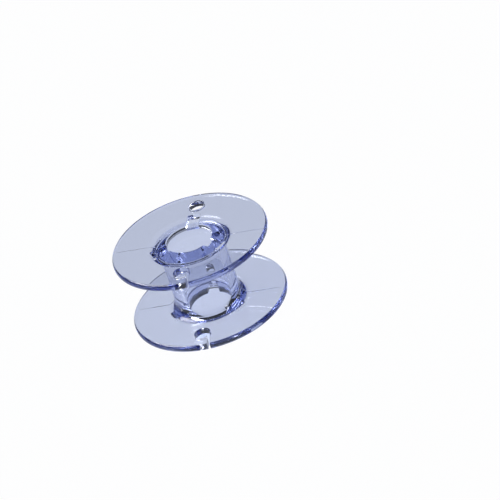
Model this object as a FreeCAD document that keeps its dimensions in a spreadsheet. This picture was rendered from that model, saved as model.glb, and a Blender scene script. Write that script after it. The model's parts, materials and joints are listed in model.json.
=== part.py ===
"""Clear plastic sewing machine bobbin, moulded in one piece.

The bobbin stands on its lower flange with its axis on Z and its origin at the centre of the lower
end face. The thread holes lie on the Y axis, and the hole with the thread slit is the one at -Y.
Lengths are in millimetres and angles in degrees.
"""
import FreeCAD, Part
import math
import os
import Sketcher

doc = FreeCAD.newDocument("bobbin")

# Driving dimensions
SIZES = [
    ("flange_diameter", 20.5, "outer diameter of both flanges"),
    ("overall_height", 10.5, "height over both end faces"),
    ("flange_thickness", 0.9, "thickness of a flange"),
    ("bore_diameter", 6.0, "bore for the winder spindle and the case pin"),
    ("mouth_chamfer", 0.3, "lead-in chamfer of the bore mouths"),
    ("hub_wall", 1.25, "wall of the hub that carries the thread"),
    ("hub_flare", 1.5, "fillet where the hub runs into a flange"),
    ("hole_diameter", 2.0, "diameter of a thread hole"),
    ("hole_chamfer", 0.15, "chamfer of the edges of a thread hole"),
    ("hole_count", 2, "thread holes in each flange"),
    ("slit_width", 0.36, "width of the slit from a thread hole to the rim"),
    ("notch_width", 1.7, "width of a drive notch in the end faces"),
    ("notch_reach", 2.3, "how far a drive notch runs out from the bore wall"),
    ("notch_depth", 0.7, "depth of a drive notch"),
    ("notch_count", 3, "drive notches in each end face"),
]

sheet = doc.addObject("Spreadsheet::Sheet", "sizes")
for row, (alias, value, meaning) in enumerate(SIZES, start=1):
    sheet.set(f"A{row}", meaning)
    sheet.set(f"B{row}", str(value))
    sheet.setAlias(f"B{row}", alias)
doc.recompute()

# Sizes worked out from the driving dimensions
FLANGE_RADIUS = "sizes.flange_diameter / 2"
BORE_RADIUS = "sizes.bore_diameter / 2"
HUB_RADIUS = f"({BORE_RADIUS} + sizes.hub_wall)"
LOWER_INNER_FACE = "sizes.flange_thickness"
UPPER_INNER_FACE = "(sizes.overall_height - sizes.flange_thickness)"
TOP = "sizes.overall_height"
BOTTOM = "0"

# The rim of a flange is a full round, so its middle lies half the thickness in
RIM_CENTRE = f"({FLANGE_RADIUS} - sizes.flange_thickness / 2)"

# The thread holes lie a little inside the middle of the flat web, and clear of the flare
FLARE_FOOT = f"({HUB_RADIUS} + sizes.hub_flare)"
HOLE_RADIUS = "sizes.hole_diameter / 2"
HOLE_PLACE_ON_WEB = 0.43
HOLE_ON_WEB = f"{FLARE_FOOT} + ({RIM_CENTRE} - {FLARE_FOOT}) * {HOLE_PLACE_ON_WEB}"
HOLE_BY_FLARE = f"{FLARE_FOOT} + {HOLE_RADIUS} + sizes.hole_chamfer * 2"
HOLE_PITCH = f"max({HOLE_ON_WEB}; {HOLE_BY_FLARE})"

# Chamfers at both ends of a thread hole leave a little of its wall between the two
CHAMFER_SHARE_OF_WALL = 0.48
HOLE_CHAMFER = f"min(sizes.hole_chamfer; sizes.flange_thickness * {CHAMFER_SHARE_OF_WALL})"

# The slit lies on a radius, turned until its outer wall runs down the side of the hole
HALF_SLIT = "sizes.slit_width / 2"
SLIT_TURN = f"asin(({HOLE_RADIUS} - {HALF_SLIT}) / {HOLE_PITCH})"
SLIT_END = f"({FLANGE_RADIUS} + sizes.slit_width)"

HALF_NOTCH = "sizes.notch_width / 2"
NOTCH_END = f"({BORE_RADIUS} + sizes.notch_reach)"

body = doc.addObject("PartDesign::Body", "bobbin_body")
body.Label = "bobbin"

# Sketcher's own numbering: the points of an edge in this order, and the axes counted down from -1
POINTS = ("whole", "start", "end", "centre")
AXES = ("x", "y")


def number(expression):
    """What an expression on the sizes comes to."""
    return float(sheet.evalExpression(expression))


def spot_on(edge, point):
    """The place of a point of an edge, as a constraint takes it."""
    return (edge, POINTS.index(point))


def axis(name):
    """The place of an axis of a sketch, as a constraint takes it."""
    return -1 - AXES.index(name)


ORIGIN = spot_on(axis("x"), "start")


def origin_feature(role):
    """The plane or axis of the body's own origin with this role."""
    return next(item for item in body.Origin.OriginFeatures if item.Role == role)


def sketch_on(role, name):
    """A new sketch of the body on one of its origin planes."""
    sketch = body.newObject("Sketcher::SketchObject", name)
    sketch.AttachmentSupport = [(origin_feature(role), "")]
    sketch.MapMode = "FlatFace"
    return sketch


def half_round(start, end):
    """Half circle from one point to the other, counter-clockwise."""
    middle = (start + end) / 2
    circle = Part.Circle(middle, FreeCAD.Vector(0, 0, 1), (end - start).Length / 2)
    angle = circle.parameter(start)
    return Part.ArcOfCircle(circle, angle, angle + math.pi)


def closed_outline(sketch, starts, rounds=()):
    """Draws the named edges from start to start and returns the places of their points.

    The edges named in rounds are half circles, and the others are upright or level lines.
    """
    points = [FreeCAD.Vector(number(across), number(up), 0) for across, up in starts.values()]
    names = list(starts)
    for edge, (start, end) in enumerate(zip(points, points[1:] + points[:1])):
        if names[edge] in rounds:
            sketch.addGeometry(half_round(start, end))
            continue
        sketch.addGeometry(Part.LineSegment(start, end))
        direction = "Vertical" if start.x == end.x else "Horizontal"
        sketch.addConstraint(Sketcher.Constraint(direction, edge))
    for edge, name in enumerate(names):
        following = (edge + 1) % len(names)
        meeting = "Tangent" if {name, names[following]} & set(rounds) else "Coincident"
        ends = (*spot_on(edge, "end"), *spot_on(following, "start"))
        sketch.addConstraint(Sketcher.Constraint(meeting, *ends))
    return {(name, at): spot_on(edge, at) for edge, name in enumerate(names) for at in POINTS}


def dimension(sketch, kind, places, name, expression):
    """A named dimension of a sketch, tied to the sizes."""
    index = sketch.addConstraint(Sketcher.Constraint(kind, *places, number(expression)))
    sketch.renameConstraint(index, name)
    sketch.setExpression(f"Constraints.{name}", expression)


def circular_edges(feature, radius, heights):
    """Names of the feature's round edges with this radius at any of these heights."""
    near = 1e-4
    names = []
    for place, edge in enumerate(feature.Shape.Edges, start=1):
        if not isinstance(edge.Curve, Part.Circle):
            continue
        if abs(edge.Curve.Radius - number(radius)) > near:
            continue
        if any(abs(edge.Curve.Center.z - number(height)) < near for height in heights):
            names.append(f"Edge{place}")
    return names


def round_edges(name, base, edges, radius):
    """Rounds the named edges of the feature before it."""
    fillet = body.newObject("PartDesign::Fillet", name)
    fillet.Base = (base, edges)
    fillet.setExpression("Radius", radius)
    doc.recompute()
    return fillet


def chamfer_edges(name, base, edges, width):
    """Breaks the named edges of the feature before it at 45 degrees."""
    chamfer = body.newObject("PartDesign::Chamfer", name)
    chamfer.Base = (base, edges)
    chamfer.setExpression("Size", width)
    doc.recompute()
    return chamfer


def cut_through(name, sketch):
    """Cuts a sketch on the base plane up through the whole bobbin."""
    doc.recompute()
    pocket = body.newObject("PartDesign::Pocket", name)
    pocket.Profile = sketch
    pocket.Type = "ThroughAll"
    pocket.Reversed = True
    doc.recompute()
    return pocket


def turned_copies(name, feature, count):
    """Repeats a feature evenly round the axis of the bobbin."""
    pattern = body.newObject("PartDesign::PolarPattern", name)
    pattern.Originals = [feature]
    pattern.Axis = (origin_feature("Z_Axis"), [""])
    pattern.setExpression("Occurrences", count)
    body.Tip = pattern
    doc.recompute()
    return pattern


# Spool: half of its section, with full-round rims, turned about the axis
section = sketch_on("XZ_Plane", "spool_section")
spot = closed_outline(section, {
    "lower_face": (BORE_RADIUS, BOTTOM),
    "lower_rim": (RIM_CENTRE, BOTTOM),
    "lower_inner_face": (RIM_CENTRE, LOWER_INNER_FACE),
    "hub_side": (HUB_RADIUS, LOWER_INNER_FACE),
    "upper_inner_face": (HUB_RADIUS, UPPER_INNER_FACE),
    "upper_rim": (RIM_CENTRE, UPPER_INNER_FACE),
    "upper_face": (RIM_CENTRE, TOP),
    "bore_wall": (BORE_RADIUS, TOP),
}, rounds=("lower_rim", "upper_rim"))
lower_left = spot["lower_face", "start"]
rim_centres = (spot["lower_rim", "centre"], spot["upper_rim", "centre"])
hub_foot = spot["hub_side", "start"]
hub_top = spot["hub_side", "end"]
section.addConstraint(Sketcher.Constraint("PointOnObject", *lower_left, axis("x")))
section.addConstraint(Sketcher.Constraint("Vertical", *rim_centres[0], *rim_centres[1]))
dimension(section, "DistanceX", (*ORIGIN, *lower_left), "bore_radius", BORE_RADIUS)
dimension(section, "DistanceX", (*ORIGIN, *rim_centres[0]), "rim_centre", RIM_CENTRE)
dimension(section, "DistanceX", (*ORIGIN, *hub_foot), "hub_radius", HUB_RADIUS)
dimension(section, "DistanceY", (*ORIGIN, *hub_foot), "lower_inner_face", LOWER_INNER_FACE)
dimension(section, "DistanceY", (*ORIGIN, *hub_top), "upper_inner_face", UPPER_INNER_FACE)
dimension(section, "DistanceY", (*ORIGIN, *spot["upper_face", "start"]), "height", TOP)
doc.recompute()

spool = body.newObject("PartDesign::Revolution", "spool")
spool.Profile = section
spool.ReferenceAxis = (section, ["V_Axis"])
spool.Angle = 360
doc.recompute()

# Flared hub ends and chamfered bore mouths
INNER_FACES = (LOWER_INNER_FACE, UPPER_INNER_FACE)
END_FACES = (BOTTOM, TOP)

flare_edges = circular_edges(spool, HUB_RADIUS, INNER_FACES)
flares = round_edges("hub_flares", spool, flare_edges, "sizes.hub_flare")
mouth_edges = circular_edges(flares, BORE_RADIUS, END_FACES)
mouths = chamfer_edges("bore_mouths", flares, mouth_edges, "sizes.mouth_chamfer")

# Thread holes, in line through both flanges, with chamfered edges
hole_sketch = sketch_on("XY_Plane", "thread_hole_sketch")
hole_middle = FreeCAD.Vector(0, -number(HOLE_PITCH), 0)
hole_sketch.addGeometry(Part.Circle(hole_middle, FreeCAD.Vector(0, 0, 1), number(HOLE_RADIUS)))
hole_centre = spot_on(0, "centre")
hole_sketch.addConstraint(Sketcher.Constraint("PointOnObject", *hole_centre, axis("y")))
dimension(hole_sketch, "Radius", (0,), "hole_radius", HOLE_RADIUS)
dimension(hole_sketch, "DistanceY", (*hole_centre, *ORIGIN), "hole_pitch", HOLE_PITCH)
thread_hole = cut_through("thread_hole", hole_sketch)
thread_holes = turned_copies("thread_holes", thread_hole, "sizes.hole_count")
hole_edges = circular_edges(thread_holes, HOLE_RADIUS, INNER_FACES + END_FACES)
chamfered_holes = chamfer_edges("chamfered_holes", thread_holes, hole_edges, HOLE_CHAMFER)

# Thread slit, from the side of the hole at -Y out through the rim of both flanges
slit_sketch = sketch_on("XY_Plane", "thread_slit_sketch")
slit_rotation = FreeCAD.Rotation(FreeCAD.Vector(0, 0, 1), number(SLIT_TURN))
slit_sketch.AttachmentOffset = FreeCAD.Placement(FreeCAD.Vector(), slit_rotation)
slit_sketch.setExpression("AttachmentOffset.Rotation.Angle", SLIT_TURN)
spot = closed_outline(slit_sketch, {
    "outer_end": (f"-{HALF_SLIT}", f"-{SLIT_END}"),
    "right_wall": (HALF_SLIT, f"-{SLIT_END}"),
    "inner_end": (HALF_SLIT, f"-{HOLE_PITCH}"),
    "left_wall": (f"-{HALF_SLIT}", f"-{HOLE_PITCH}"),
})
outer_corners = (*spot["outer_end", "start"], *spot["outer_end", "end"])
right_corner = spot["right_wall", "start"]
inner_corner = spot["inner_end", "start"]
dimension(slit_sketch, "DistanceX", (*ORIGIN, *right_corner), "half_slit", HALF_SLIT)
dimension(slit_sketch, "DistanceX", outer_corners, "slit_width", "sizes.slit_width")
dimension(slit_sketch, "DistanceY", (*inner_corner, *ORIGIN), "slit_inner_end", HOLE_PITCH)
dimension(slit_sketch, "DistanceY", (*right_corner, *ORIGIN), "slit_outer_end", SLIT_END)
thread_slit = cut_through("thread_slit", slit_sketch)


def drive_notches(name, face_height, upwards):
    """Notches in one end face that run out from the bore, the first one towards +Y."""
    sketch = sketch_on("XY_Plane", f"{name}_sketch")
    sketch.setExpression("AttachmentOffset.Base.z", f"{face_height} * 1 mm")
    spot = closed_outline(sketch, {
        "inner_end": (f"-{HALF_NOTCH}", BOTTOM),
        "right_wall": (HALF_NOTCH, BOTTOM),
        "outer_end": (HALF_NOTCH, NOTCH_END),
        "left_wall": (f"-{HALF_NOTCH}", NOTCH_END),
    })
    inner_corners = (*spot["inner_end", "start"], *spot["inner_end", "end"])
    sketch.addConstraint(Sketcher.Constraint("Symmetric", *inner_corners, *ORIGIN))
    dimension(sketch, "DistanceX", inner_corners, "notch_width", "sizes.notch_width")
    dimension(sketch, "DistanceY", (*ORIGIN, *spot["outer_end", "start"]), "notch_end", NOTCH_END)
    doc.recompute()
    pocket = body.newObject("PartDesign::Pocket", f"{name}_first")
    pocket.Profile = sketch
    pocket.Type = "Length"
    pocket.setExpression("Length", "sizes.notch_depth")
    pocket.Reversed = upwards
    doc.recompute()
    return turned_copies(name, pocket, "sizes.notch_count")


lower_notches = drive_notches("lower_notches", BOTTOM, upwards=True)
upper_notches = drive_notches("upper_notches", TOP, upwards=False)
doc.recompute()

# Every feature has to have worked, and every cut has to have removed material
for item in doc.Objects:
    if {"Invalid", "Error"} & set(item.State):
        raise RuntimeError(f"{item.Name} did not build: {item.State}")
cuts = (
    flares, mouths, thread_hole, thread_holes, chamfered_holes,
    thread_slit, lower_notches, upper_notches,
)
for before, after in zip(cuts, cuts[1:]):
    if after.Shape.Volume >= before.Shape.Volume:
        raise RuntimeError(f"{after.Name} removed nothing")
if body.Shape.isNull() or not body.Shape.isValid() or len(body.Shape.Solids) != 1:
    raise RuntimeError("the bobbin is not one valid solid")

os.makedirs("parts", exist_ok=True)
body.Shape.exportStep(f"parts/{body.Label}.step")
box = body.Shape.optimalBoundingBox(False)
print(f"{body.Label}: {box.XLength:.3f} x {box.YLength:.3f} x {box.ZLength:.3f} mm")
print(f"volume {body.Shape.Volume:.3f} cubic mm, {len(body.Shape.Faces)} faces")
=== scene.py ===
"""Clear, blue-tinted plastic bobbin standing on a white table.

Everything is in metres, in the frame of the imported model: the axis of the bobbin is Z, the thread
holes lie on Y, and the hole with the thread slit is the one at -Y.
"""
import json
import math
import bpy
from mathutils import Matrix, Vector


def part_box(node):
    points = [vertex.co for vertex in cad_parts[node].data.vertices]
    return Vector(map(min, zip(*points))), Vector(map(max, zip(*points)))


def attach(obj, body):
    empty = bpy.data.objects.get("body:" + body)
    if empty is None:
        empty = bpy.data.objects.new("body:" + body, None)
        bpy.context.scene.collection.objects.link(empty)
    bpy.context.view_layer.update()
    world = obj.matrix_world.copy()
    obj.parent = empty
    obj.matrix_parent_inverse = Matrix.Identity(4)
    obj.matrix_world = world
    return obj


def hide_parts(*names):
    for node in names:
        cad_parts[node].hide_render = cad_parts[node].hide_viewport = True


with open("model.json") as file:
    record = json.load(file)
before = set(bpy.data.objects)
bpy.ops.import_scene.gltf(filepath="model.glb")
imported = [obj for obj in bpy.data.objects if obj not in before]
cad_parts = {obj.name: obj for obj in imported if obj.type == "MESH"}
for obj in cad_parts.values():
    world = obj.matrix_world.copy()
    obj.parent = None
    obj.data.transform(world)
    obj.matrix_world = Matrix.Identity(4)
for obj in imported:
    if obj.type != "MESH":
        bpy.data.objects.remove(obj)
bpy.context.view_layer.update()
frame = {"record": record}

MM = 0.001

# Sizes read from the frame
low_corner, high_corner = (Vector(corner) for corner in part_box("bobbin"))
mounts = {mount["name"]: mount for mount in frame["record"]["mounts"]}
HEIGHT = high_corner.z - low_corner.z
FLANGE_RADIUS = min(high_corner.x, high_corner.y, -low_corner.x, -low_corner.y)
BORE_RADIUS = mounts["spindle_bore"]["dims"]["r_mm"] * MM

# Sizes of the moulding
FLANGE_THICKNESS = 0.9 * MM
HUB_WALL = 1.25 * MM
HUB_FLARE = 1.5 * MM
MOUTH_CHAMFER = 0.12 * MM
HOLE_PLACE_ON_WEB = 0.43
HOLE_RADIUS = 1.0 * MM
HOLE_ROUND = 0.15 * MM
HOLE_COUNT = 2
SLIT_WIDTH = 0.36 * MM
NOTCH_WIDTH = 1.7 * MM
NOTCH_REACH = 2.3 * MM
NOTCH_DEPTH = 0.7 * MM
NOTCH_CORNER = 0.15 * MM
NOTCH_COUNT = 3
PARTING_RIDGE = 0.06 * MM


class Field:
    """A number in a node tree that takes part in Python arithmetic."""

    def __init__(self, tree, socket):
        self.tree = tree
        self.socket = socket

    def math(self, operation, *values):
        return self.tree.add("ShaderNodeMath", {"operation": operation}, dict(enumerate(values)))

    def __add__(self, other):
        return self.math("ADD", self, other)

    __radd__ = __add__

    def __sub__(self, other):
        return self.math("SUBTRACT", self, other)

    def __rsub__(self, other):
        return self.math("SUBTRACT", other, self)

    def __mul__(self, other):
        return self.math("MULTIPLY", self, other)

    __rmul__ = __mul__

    def __truediv__(self, other):
        return self.math("DIVIDE", self, other)

    def __neg__(self):
        return self.math("MULTIPLY", self, -1.0)

    def __gt__(self, other):
        return self.math("GREATER_THAN", self, other)

    def __lt__(self, other):
        return self.math("LESS_THAN", self, other)


class Tree:
    """A node tree that is written node by node."""

    def __init__(self, nodes):
        self.nodes = nodes

    def add(self, kind, settings=None, sockets=None, output=0):
        """Adds a node, sets it up, feeds its sockets and returns one of its outputs, if it has any."""
        node = self.nodes.nodes.new(kind)
        for name, value in (settings or {}).items():
            if name == "index_switch_items":
                while len(node.index_switch_items) < value:
                    node.index_switch_items.new()
            else:
                setattr(node, name, value)
        for name, value in (sockets or {}).items():
            self.feed(node.inputs[name], value)
        return Field(self, node.outputs[output]) if node.outputs else None

    def feed(self, socket, value):
        """Sets a socket to a value, or links it to one field or to each of a list of them."""
        for item in value if isinstance(value, list) else [value]:
            if isinstance(item, Field):
                self.nodes.links.new(item.socket, socket)
            else:
                socket.default_value = item


# Shape of the moulding: a turned spool with holes, a slit and notches cut out of it
SECTION_STEPS = 20
TURN_STEPS = 256
CUTTER_STEPS = 96
SEAM_CLOSENESS = 0.75
RIM_SHARE = 0.42
LIP_SLOPE = 0.15
CUTTER_CORE = 0.01 * MM
CUTTER_MARGIN = 0.5 * MM
NOTCH_START = 2.0 * MM
CREASE_ANGLE = math.radians(35)
FLAT_FACING = 0.99999

BOBBIN_SIZES = {
    "Flange Radius": FLANGE_RADIUS,
    "Height": HEIGHT,
    "Flange Thickness": FLANGE_THICKNESS,
    "Bore Radius": BORE_RADIUS,
    "Mouth Chamfer": MOUTH_CHAMFER,
    "Hub Wall": HUB_WALL,
    "Hub Flare": HUB_FLARE,
    "Hole Radius": HOLE_RADIUS,
    "Hole Round": HOLE_ROUND,
    "Slit Width": SLIT_WIDTH,
    "Notch Width": NOTCH_WIDTH,
    "Notch Reach": NOTCH_REACH,
    "Notch Depth": NOTCH_DEPTH,
    "Notch Corner": NOTCH_CORNER,
    "Parting Ridge": PARTING_RIDGE,
}
BOBBIN_COUNTS = {"Hole Count": HOLE_COUNT, "Notch Count": NOTCH_COUNT}


def point(tree, x=0.0, y=0.0, z=0.0):
    """A vector whose parts may be fields."""
    return tree.add("ShaderNodeCombineXYZ", sockets={"X": x, "Y": y, "Z": z})


def index_of(tree):
    """The number of each element."""
    return tree.add("GeometryNodeInputIndex")


def by_index(tree, kind, values):
    """The value that stands at each element's own number."""
    sockets = {"Index": index_of(tree)}
    sockets.update((place + 1, value) for place, value in enumerate(values))
    settings = {"data_type": kind, "index_switch_items": len(values)}
    return tree.add("GeometryNodeIndexSwitch", settings, sockets)


def rounded_line(tree, corners, cyclic):
    """A line through corners given as across, up and radius, with those corners rounded."""
    line = tree.add("GeometryNodeMeshLine", sockets={"Count": len(corners)})
    line = tree.add("GeometryNodeMeshToCurve", sockets={"Mesh": line})
    line = tree.add("GeometryNodeSetSplineCyclic", sockets={"Geometry": line, "Cyclic": cyclic})
    places = [point(tree, across, 0.0 - up) for across, up, radius in corners]
    line = tree.add("GeometryNodeSetPosition", sockets={
        "Geometry": line, "Position": by_index(tree, "VECTOR", places)})
    radii = [radius for across, up, radius in corners]
    return tree.add("GeometryNodeFilletCurve", {"mode": "POLY"}, {
        "Curve": line, "Count": SECTION_STEPS, "Radius": by_index(tree, "FLOAT", radii)})


def turned(tree, outline, radius, steps, closeness=0.0):
    """Turns an outline about Z. Its across is counted from a circle of the given radius.

    Closeness draws the steps together at the two ends of the X axis.
    """
    angle = index_of(tree) * (2 * math.pi / steps)
    angle = angle - (angle * 2).math("SINE", angle * 2) * (closeness / 2)
    place = point(tree, angle.math("COSINE", angle) * radius, angle.math("SINE", angle) * radius)
    circle = tree.add("GeometryNodeCurvePrimitiveCircle", sockets={"Resolution": steps})
    circle = tree.add("GeometryNodeSetPosition", sockets={"Geometry": circle, "Position": place})
    mesh = tree.add("GeometryNodeCurveToMesh", sockets={"Curve": circle, "Profile Curve": outline})
    return tree.add("GeometryNodeFlipFaces", sockets={"Mesh": mesh})


def spool(tree, size):
    """The plain spool: bore, hub with flared ends and flanges with rims that are nearly full rounds."""
    rim = size["Flange Radius"] - size["Bore Radius"]
    rim_round = size["Flange Thickness"] * RIM_SHARE
    mouth = size["Mouth Chamfer"]
    lower, upper = size["Flange Thickness"], size["Height"] - size["Flange Thickness"]
    section = rounded_line(tree, [
        (0.0, mouth, 0.0),
        (mouth, 0.0, 0.0),
        (rim, 0.0, rim_round),
        (rim, lower, rim_round),
        (size["Hub Wall"], lower, size["Hub Flare"]),
        (size["Hub Wall"], upper, size["Hub Flare"]),
        (rim, upper, rim_round),
        (rim, size["Height"], rim_round),
        (mouth, size["Height"], 0.0),
        (0.0, size["Height"] - mouth, 0.0),
    ], cyclic=True)
    return turned(tree, section, size["Bore Radius"], TURN_STEPS, SEAM_CLOSENESS)


def with_parting_ridge(tree, mesh, size):
    """Raises the fine ridge that the halves of the mould leave in the winding space."""
    position = tree.add("GeometryNodeInputPosition")
    x, y, z = (tree.add("ShaderNodeSeparateXYZ", sockets={0: position}, output=part) for part in range(3))
    half_rim = size["Flange Thickness"] / 2
    on_seam = y.math("ABSOLUTE", y) < CUTTER_CORE
    reach = x.math("ABSOLUTE", x)
    outside = reach > size["Bore Radius"] + size["Hub Wall"] / 2
    inside = reach < size["Flange Radius"] - half_rim
    between = (z > half_rim) * (z < size["Height"] - half_rim)
    normal = tree.add("GeometryNodeInputNormal")
    lift = tree.add("ShaderNodeVectorMath", {"operation": "SCALE"}, {
        0: normal, "Scale": size["Parting Ridge"]})
    return tree.add("GeometryNodeSetPosition", sockets={
        "Geometry": mesh, "Selection": on_seam * outside * inside * between, "Offset": lift})


def copies_round_axis(tree, mesh, count):
    """Copies of a cutter, evenly round the axis."""
    points = tree.add("GeometryNodePoints", sockets={"Count": count})
    turn = point(tree, z=index_of(tree) * (2 * math.pi) / count)
    return tree.add("GeometryNodeInstanceOnPoints", sockets={
        "Points": points, "Instance": mesh, "Rotation": turn})


def hole_cutter(tree, size, pitch):
    """A pin with flared collars at the flange faces, which rounds the edges of the hole it cuts."""
    edge = size["Hole Round"]
    flare, lip = edge * 2, edge * (2 * LIP_SLOPE)
    core = CUTTER_CORE - size["Hole Radius"]
    lower, upper = size["Flange Thickness"], size["Height"] - size["Flange Thickness"]
    outline = rounded_line(tree, [
        (core, -lip, 0.0),
        (flare, -lip, 0.0),
        (0.0, 0.0, edge),
        (0.0, lower, edge),
        (flare, lower + lip, 0.0),
        (flare, upper - lip, 0.0),
        (0.0, upper, edge),
        (0.0, size["Height"], edge),
        (flare, size["Height"] + lip, 0.0),
        (core, size["Height"] + lip, 0.0),
    ], cyclic=False)
    pin = turned(tree, outline, size["Hole Radius"], CUTTER_STEPS)
    pin = tree.add("GeometryNodeMergeByDistance", sockets={
        "Geometry": pin, "Distance": 3 * CUTTER_CORE})
    return tree.add("GeometryNodeTransform", sockets={
        "Geometry": pin, "Translation": point(tree, y=-pitch)})


def slit_cutter(tree, size, pitch):
    """A thin blade from the hole out past the rim, turned so that it runs down the hole's side."""
    length = size["Flange Radius"] - pitch + CUTTER_MARGIN
    blade = tree.add("GeometryNodeMeshCube", sockets={
        "Size": point(tree, size["Slit Width"], length, size["Height"] + 2 * CUTTER_MARGIN)})
    blade = tree.add("GeometryNodeTransform", sockets={
        "Geometry": blade, "Translation": point(tree, y=-pitch - length / 2, z=size["Height"] / 2)})
    swing = (size["Hole Radius"] - size["Slit Width"] / 2) / pitch
    return tree.add("GeometryNodeTransform", sockets={
        "Geometry": blade, "Rotation": point(tree, z=swing.math("ARCSINE", swing))})


def notch_cutter(tree, size, floor, ceiling):
    """A block with rounded corners over one drive notch, towards +Y."""
    length = size["Bore Radius"] + size["Notch Reach"] - NOTCH_START
    outline = tree.add("GeometryNodeCurvePrimitiveQuadrilateral", sockets={
        "Width": size["Notch Width"], "Height": length})
    outline = tree.add("GeometryNodeFilletCurve", {"mode": "POLY"}, {
        "Curve": outline, "Count": SECTION_STEPS, "Radius": size["Notch Corner"]})
    rise = tree.add("GeometryNodeCurvePrimitiveLine", sockets={
        "Start": point(tree, z=floor), "End": point(tree, z=ceiling)})
    block = tree.add("GeometryNodeCurveToMesh", sockets={
        "Curve": rise, "Profile Curve": outline, "Fill Caps": True})
    return tree.add("GeometryNodeTransform", sockets={
        "Geometry": block, "Translation": point(tree, y=length / 2 + NOTCH_START)})


def bobbin_tree():
    """The node tree of the whole moulding, with its sizes, counts and material as inputs."""
    group = bpy.data.node_groups.new("bobbin_moulding", "GeometryNodeTree")
    sockets = group.interface
    sockets.new_socket("Geometry", in_out="OUTPUT", socket_type="NodeSocketGeometry")
    for name in BOBBIN_SIZES:
        sockets.new_socket(name, in_out="INPUT", socket_type="NodeSocketFloat")
    for name in BOBBIN_COUNTS:
        sockets.new_socket(name, in_out="INPUT", socket_type="NodeSocketInt")
    sockets.new_socket("Material", in_out="INPUT", socket_type="NodeSocketMaterial")

    tree = Tree(group)
    size = {name: tree.add("NodeGroupInput", output=name)
            for name in [*BOBBIN_SIZES, *BOBBIN_COUNTS, "Material"]}
    flare_foot = size["Bore Radius"] + size["Hub Wall"] + size["Hub Flare"]
    web = size["Flange Radius"] - size["Flange Thickness"] / 2 - flare_foot
    pitch = flare_foot + web * HOLE_PLACE_ON_WEB
    lower_notch = notch_cutter(tree, size, -CUTTER_MARGIN, size["Notch Depth"])
    upper_notch = notch_cutter(
        tree, size, size["Height"] - size["Notch Depth"], size["Height"] + CUTTER_MARGIN)
    cutters = [
        slit_cutter(tree, size, pitch),
        copies_round_axis(tree, hole_cutter(tree, size, pitch), size["Hole Count"]),
        copies_round_axis(tree, lower_notch, size["Notch Count"]),
        copies_round_axis(tree, upper_notch, size["Notch Count"]),
    ]
    mesh = with_parting_ridge(tree, spool(tree, size), size)
    for cutter in cutters:
        cutter = tree.add("GeometryNodeRealizeInstances", sockets={"Geometry": cutter})
        mesh = tree.add("GeometryNodeMeshBoolean", {"operation": "DIFFERENCE", "solver": "MANIFOLD"}, {
            "Mesh 1": mesh, "Mesh 2": cutter})
    normal = tree.add("GeometryNodeInputNormal")
    facing = tree.add("ShaderNodeSeparateXYZ", sockets={0: normal}, output="Z")
    curved = facing.math("ABSOLUTE", facing) < FLAT_FACING
    mesh = tree.add("GeometryNodeSetShadeSmooth", sockets={"Geometry": mesh, "Shade Smooth": curved})
    crease = tree.add("GeometryNodeInputMeshEdgeAngle") > CREASE_ANGLE
    mesh = tree.add("GeometryNodeSetShadeSmooth", {"domain": "EDGE"}, {
        "Geometry": mesh, "Selection": crease, "Shade Smooth": False})
    mesh = tree.add("GeometryNodeRealizeInstances", sockets={"Geometry": mesh})
    mesh = tree.add("GeometryNodeSetMaterial", sockets={
        "Geometry": mesh, "Material": size["Material"]})
    tree.add("NodeGroupOutput", sockets={"Geometry": mesh})
    return group


def make_bobbin(material):
    """The finished bobbin as a plain mesh object."""
    piece = bpy.data.objects.new("clear_bobbin", bpy.data.meshes.new("clear_bobbin"))
    bpy.context.scene.collection.objects.link(piece)
    group = bobbin_tree()
    moulding = piece.modifiers.new("moulding", "NODES")
    moulding.node_group = group
    values = {**BOBBIN_SIZES, **BOBBIN_COUNTS, "Material": material}
    for item in group.interface.items_tree:
        if item.in_out == "INPUT":
            moulding[item.identifier] = values[item.name]
    flat_faces = piece.modifiers.new("flat_faces", "WEIGHTED_NORMAL")
    flat_faces.keep_sharp = True
    evaluated = piece.evaluated_get(bpy.context.evaluated_depsgraph_get())
    mesh = bpy.data.meshes.new_from_object(evaluated)
    piece.modifiers.clear()
    piece.data = mesh
    return piece


# Clear plastic: a slight tint at its faces, more of it in depth
PLASTIC_IOR = 1.52
PLASTIC_ROUGHNESS = 0.04
FLOW_SCALE = 220.0
FLOW_DETAIL = 2.0
FLOW_STRENGTH = 0.05
FLOW_HEIGHT = 0.05 * MM
FACE_COLOR = (0.97, 0.976, 0.991)
TINT_COLOR = (0.72, 0.755, 0.90)
TINT_DENSITY = 320.0
SHADOW_COLOR = (0.88, 0.90, 0.94)

# Paper of the table
FIBRE_SCALE = 900.0
FIBRE_DETAIL = 3.0
FIBRE_SHARE = 0.5
PAPER_ROUGHNESS = 0.85
FIBRE_ROUGHNESS = 0.1
PAPER_SPECULAR = 0.2
FLOOR_COLOR = (0.64, 0.69, 0.83)
FIBRE_COLOR = (0.56, 0.61, 0.75)
SEEN_RAYS = ("Is Camera Ray", "Is Glossy Ray", "Is Transmission Ray")
SEEN_SHARE = 0.97
# Painted shade: inside these radii round the axis the white glow fades out, so the floor under the bobbin
# shows darker; the edge of this disc is painted, the shading inside it is rendered.
SHADE_INNER = 8.6 * MM
SHADE_OUTER = 9.4 * MM
GLASSY_SHARE = 0.9


def new_material(name):
    """An empty node material and its tree."""
    material = bpy.data.materials.new(name)
    material.use_nodes = True
    material.node_tree.nodes.clear()
    return material, Tree(material.node_tree)


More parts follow.
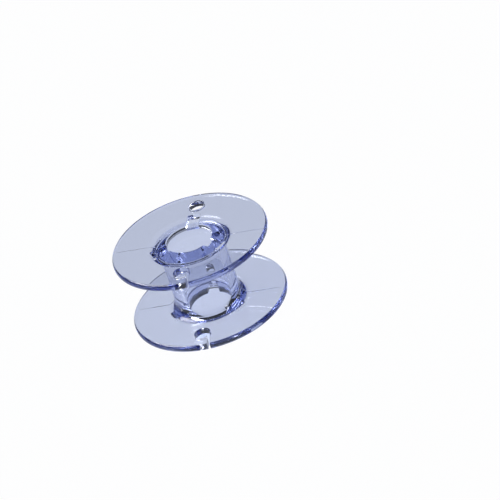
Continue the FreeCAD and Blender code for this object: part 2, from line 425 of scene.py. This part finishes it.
def tinted_plastic():
    """Clear plastic, tinted in depth, with the faint unevenness of a moulded face."""
    material, tree = new_material("tinted_plastic")
    place = tree.add("ShaderNodeTexCoord", output="Object")
    flow = tree.add("ShaderNodeTexNoise", sockets={
        "Vector": place, "Scale": FLOW_SCALE, "Detail": FLOW_DETAIL})
    bump = tree.add("ShaderNodeBump", sockets={
        "Height": flow, "Strength": FLOW_STRENGTH, "Distance": FLOW_HEIGHT})
    plastic = tree.add("ShaderNodeBsdfPrincipled", sockets={
        "Base Color": (*FACE_COLOR, 1), "Roughness": flow * PLASTIC_ROUGHNESS, "IOR": PLASTIC_IOR,
        "Transmission Weight": 1.0, "Normal": bump})
    shade = tree.add("ShaderNodeBsdfTransparent", sockets={"Color": (*SHADOW_COLOR, 1)})
    shadow_ray = tree.add("ShaderNodeLightPath", output="Is Shadow Ray")
    surface = tree.add("ShaderNodeMixShader", sockets={0: shadow_ray, 1: plastic, 2: shade})
    tint = tree.add("ShaderNodeVolumeAbsorption", sockets={
        "Color": (*TINT_COLOR, 1), "Density": TINT_DENSITY})
    tree.add("ShaderNodeOutputMaterial", sockets={"Surface": surface, "Volume": tint})
    return material


def white_table():
    """Pale paper that shows as white, but for a painted shade disc under the bobbin: there the white glow
    fades out and the paper shows its own rendered light and the bobbin's real shadow.
    """
    material, tree = new_material("white_table")
    place = tree.add("ShaderNodeTexCoord", output="Object")
    fibre = tree.add("ShaderNodeTexNoise", sockets={
        "Vector": place, "Scale": FIBRE_SCALE, "Detail": FIBRE_DETAIL})
    tone = tree.add("ShaderNodeMix", {"data_type": "RGBA"}, {
        0: fibre * FIBRE_SHARE, 6: (*FLOOR_COLOR, 1), 7: (*FIBRE_COLOR, 1)}, output=2)
    paper = tree.add("ShaderNodeBsdfPrincipled", sockets={
        "Base Color": tone, "Roughness": fibre * FIBRE_ROUGHNESS + PAPER_ROUGHNESS,
        "Specular IOR Level": PAPER_SPECULAR})
    seen, mirrored, through = (tree.add("ShaderNodeLightPath", output=kind) for kind in SEEN_RAYS)
    reach = tree.add("ShaderNodeVectorMath", {"operation": "LENGTH"}, {0: place}, output="Value")
    # Painted shade disc under the bobbin: the share of white glow falls to nothing inside SHADE_INNER,
    # leaving the paper's rendered light and shadow.
    white_share_outside_painted_shade = tree.add("ShaderNodeMapRange", {"interpolation_type": "SMOOTHSTEP"}, {
        "Value": reach, "From Min": SHADE_INNER, "From Max": SHADE_OUTER, "To Max": SEEN_SHARE})
    glassy = mirrored.math("MAXIMUM", mirrored, through)
    white = tree.add("ShaderNodeEmission", sockets={"Color": (1, 1, 1, 1)})
    pale = tree.add("ShaderNodeEmission", sockets={"Color": (*FLOOR_COLOR, 1)})
    shown = tree.add("ShaderNodeMixShader", sockets={0: seen * white_share_outside_painted_shade, 1: paper, 2: white})
    shown = tree.add("ShaderNodeMixShader", sockets={0: glassy * GLASSY_SHARE, 1: shown, 2: pale})
    tree.add("ShaderNodeOutputMaterial", sockets={"Surface": shown})
    return material


# Light of the room, the table and the camera
WALL_LIGHT = 0.03
LAMP_LIGHT = 12.0
LAMP_DIRECTION = Vector((-0.75, 0.1, 1.0)).normalized()
LAMP_OUTER_COSINE = 0.92
LAMP_INNER_COSINE = 0.985
TABLE_GAP = 0.1 * MM
TABLE_HALF = 3.0

VIEW_AZIMUTH = math.radians(16.775)
VIEW_ELEVATION = math.radians(31.881)
VIEW_ROLL = math.radians(18.448)
VIEW_DISTANCE = 400 * MM
VIEW_AIM = Vector((5.837, 4.531, 4.267)) * MM
FOCAL_PIXELS = 3106.3
IMAGE_PIXELS = 500
SENSOR_WIDTH = 36.0
BOUNCES = 40


def make_table():
    """The table top, a hair below the bobbin so that light still turns inside its lower face."""
    mesh = bpy.data.meshes.new("table")
    corners = [(x * TABLE_HALF, y * TABLE_HALF, -TABLE_GAP) for x, y in
               ((-1, -1), (1, -1), (1, 1), (-1, 1))]
    mesh.from_pydata(corners, [], [(0, 1, 2, 3)])
    mesh.materials.append(white_table())
    table = bpy.data.objects.new("table", mesh)
    bpy.context.scene.collection.objects.link(table)
    return table


def light_room():
    """A dim room with one soft lamp, high on the left."""
    world = bpy.data.worlds.new("light_room")
    world.use_nodes = True
    world.node_tree.nodes.clear()
    tree = Tree(world.node_tree)
    direction = tree.add("ShaderNodeTexCoord", output="Generated")
    cosine = tree.add("ShaderNodeVectorMath", {"operation": "DOT_PRODUCT"}, {
        0: direction, 1: LAMP_DIRECTION}, output="Value")
    light = tree.add("ShaderNodeMapRange", {"interpolation_type": "SMOOTHSTEP"}, {
        "Value": cosine, "From Min": LAMP_OUTER_COSINE, "From Max": LAMP_INNER_COSINE,
        "To Min": WALL_LIGHT, "To Max": LAMP_LIGHT})
    glow = tree.add("ShaderNodeBackground", sockets={"Color": light})
    tree.add("ShaderNodeOutputWorld", sockets={"Surface": glow})
    bpy.context.scene.world = world


def view_direction():
    """The way the camera looks."""
    flat = math.cos(VIEW_ELEVATION)
    return Vector((
        -math.sin(VIEW_AZIMUTH) * flat, math.cos(VIEW_AZIMUTH) * flat, -math.sin(VIEW_ELEVATION)))


def place_camera():
    """A long lens, tilted as the photograph is."""
    forward = view_direction()
    right = forward.cross(Vector((0, 0, 1))).normalized()
    up = right.cross(forward)
    level = Matrix((right, up, -forward)).transposed()
    turn = level @ Matrix.Rotation(-VIEW_ROLL, 3, "Z")
    camera = bpy.data.objects.new("camera", bpy.data.cameras.new("camera"))
    camera.matrix_world = Matrix.Translation(VIEW_AIM - forward * VIEW_DISTANCE) @ turn.to_4x4()
    camera.data.sensor_width = SENSOR_WIDTH
    camera.data.lens = SENSOR_WIDTH * FOCAL_PIXELS / IMAGE_PIXELS
    camera.data.clip_start = VIEW_DISTANCE / 100
    camera.data.clip_end = 4 * TABLE_HALF
    bpy.context.scene.collection.objects.link(camera)
    bpy.context.scene.camera = camera


scene = bpy.context.scene
scene.view_settings.view_transform = "Standard"
scene.cycles.max_bounces = BOUNCES
scene.cycles.transmission_bounces = BOUNCES
scene.cycles.glossy_bounces = BOUNCES
scene.cycles.transparent_max_bounces = BOUNCES

bobbin = make_bobbin(tinted_plastic())
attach(bobbin, "root")
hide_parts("bobbin")
make_table()
light_room()
place_camera()
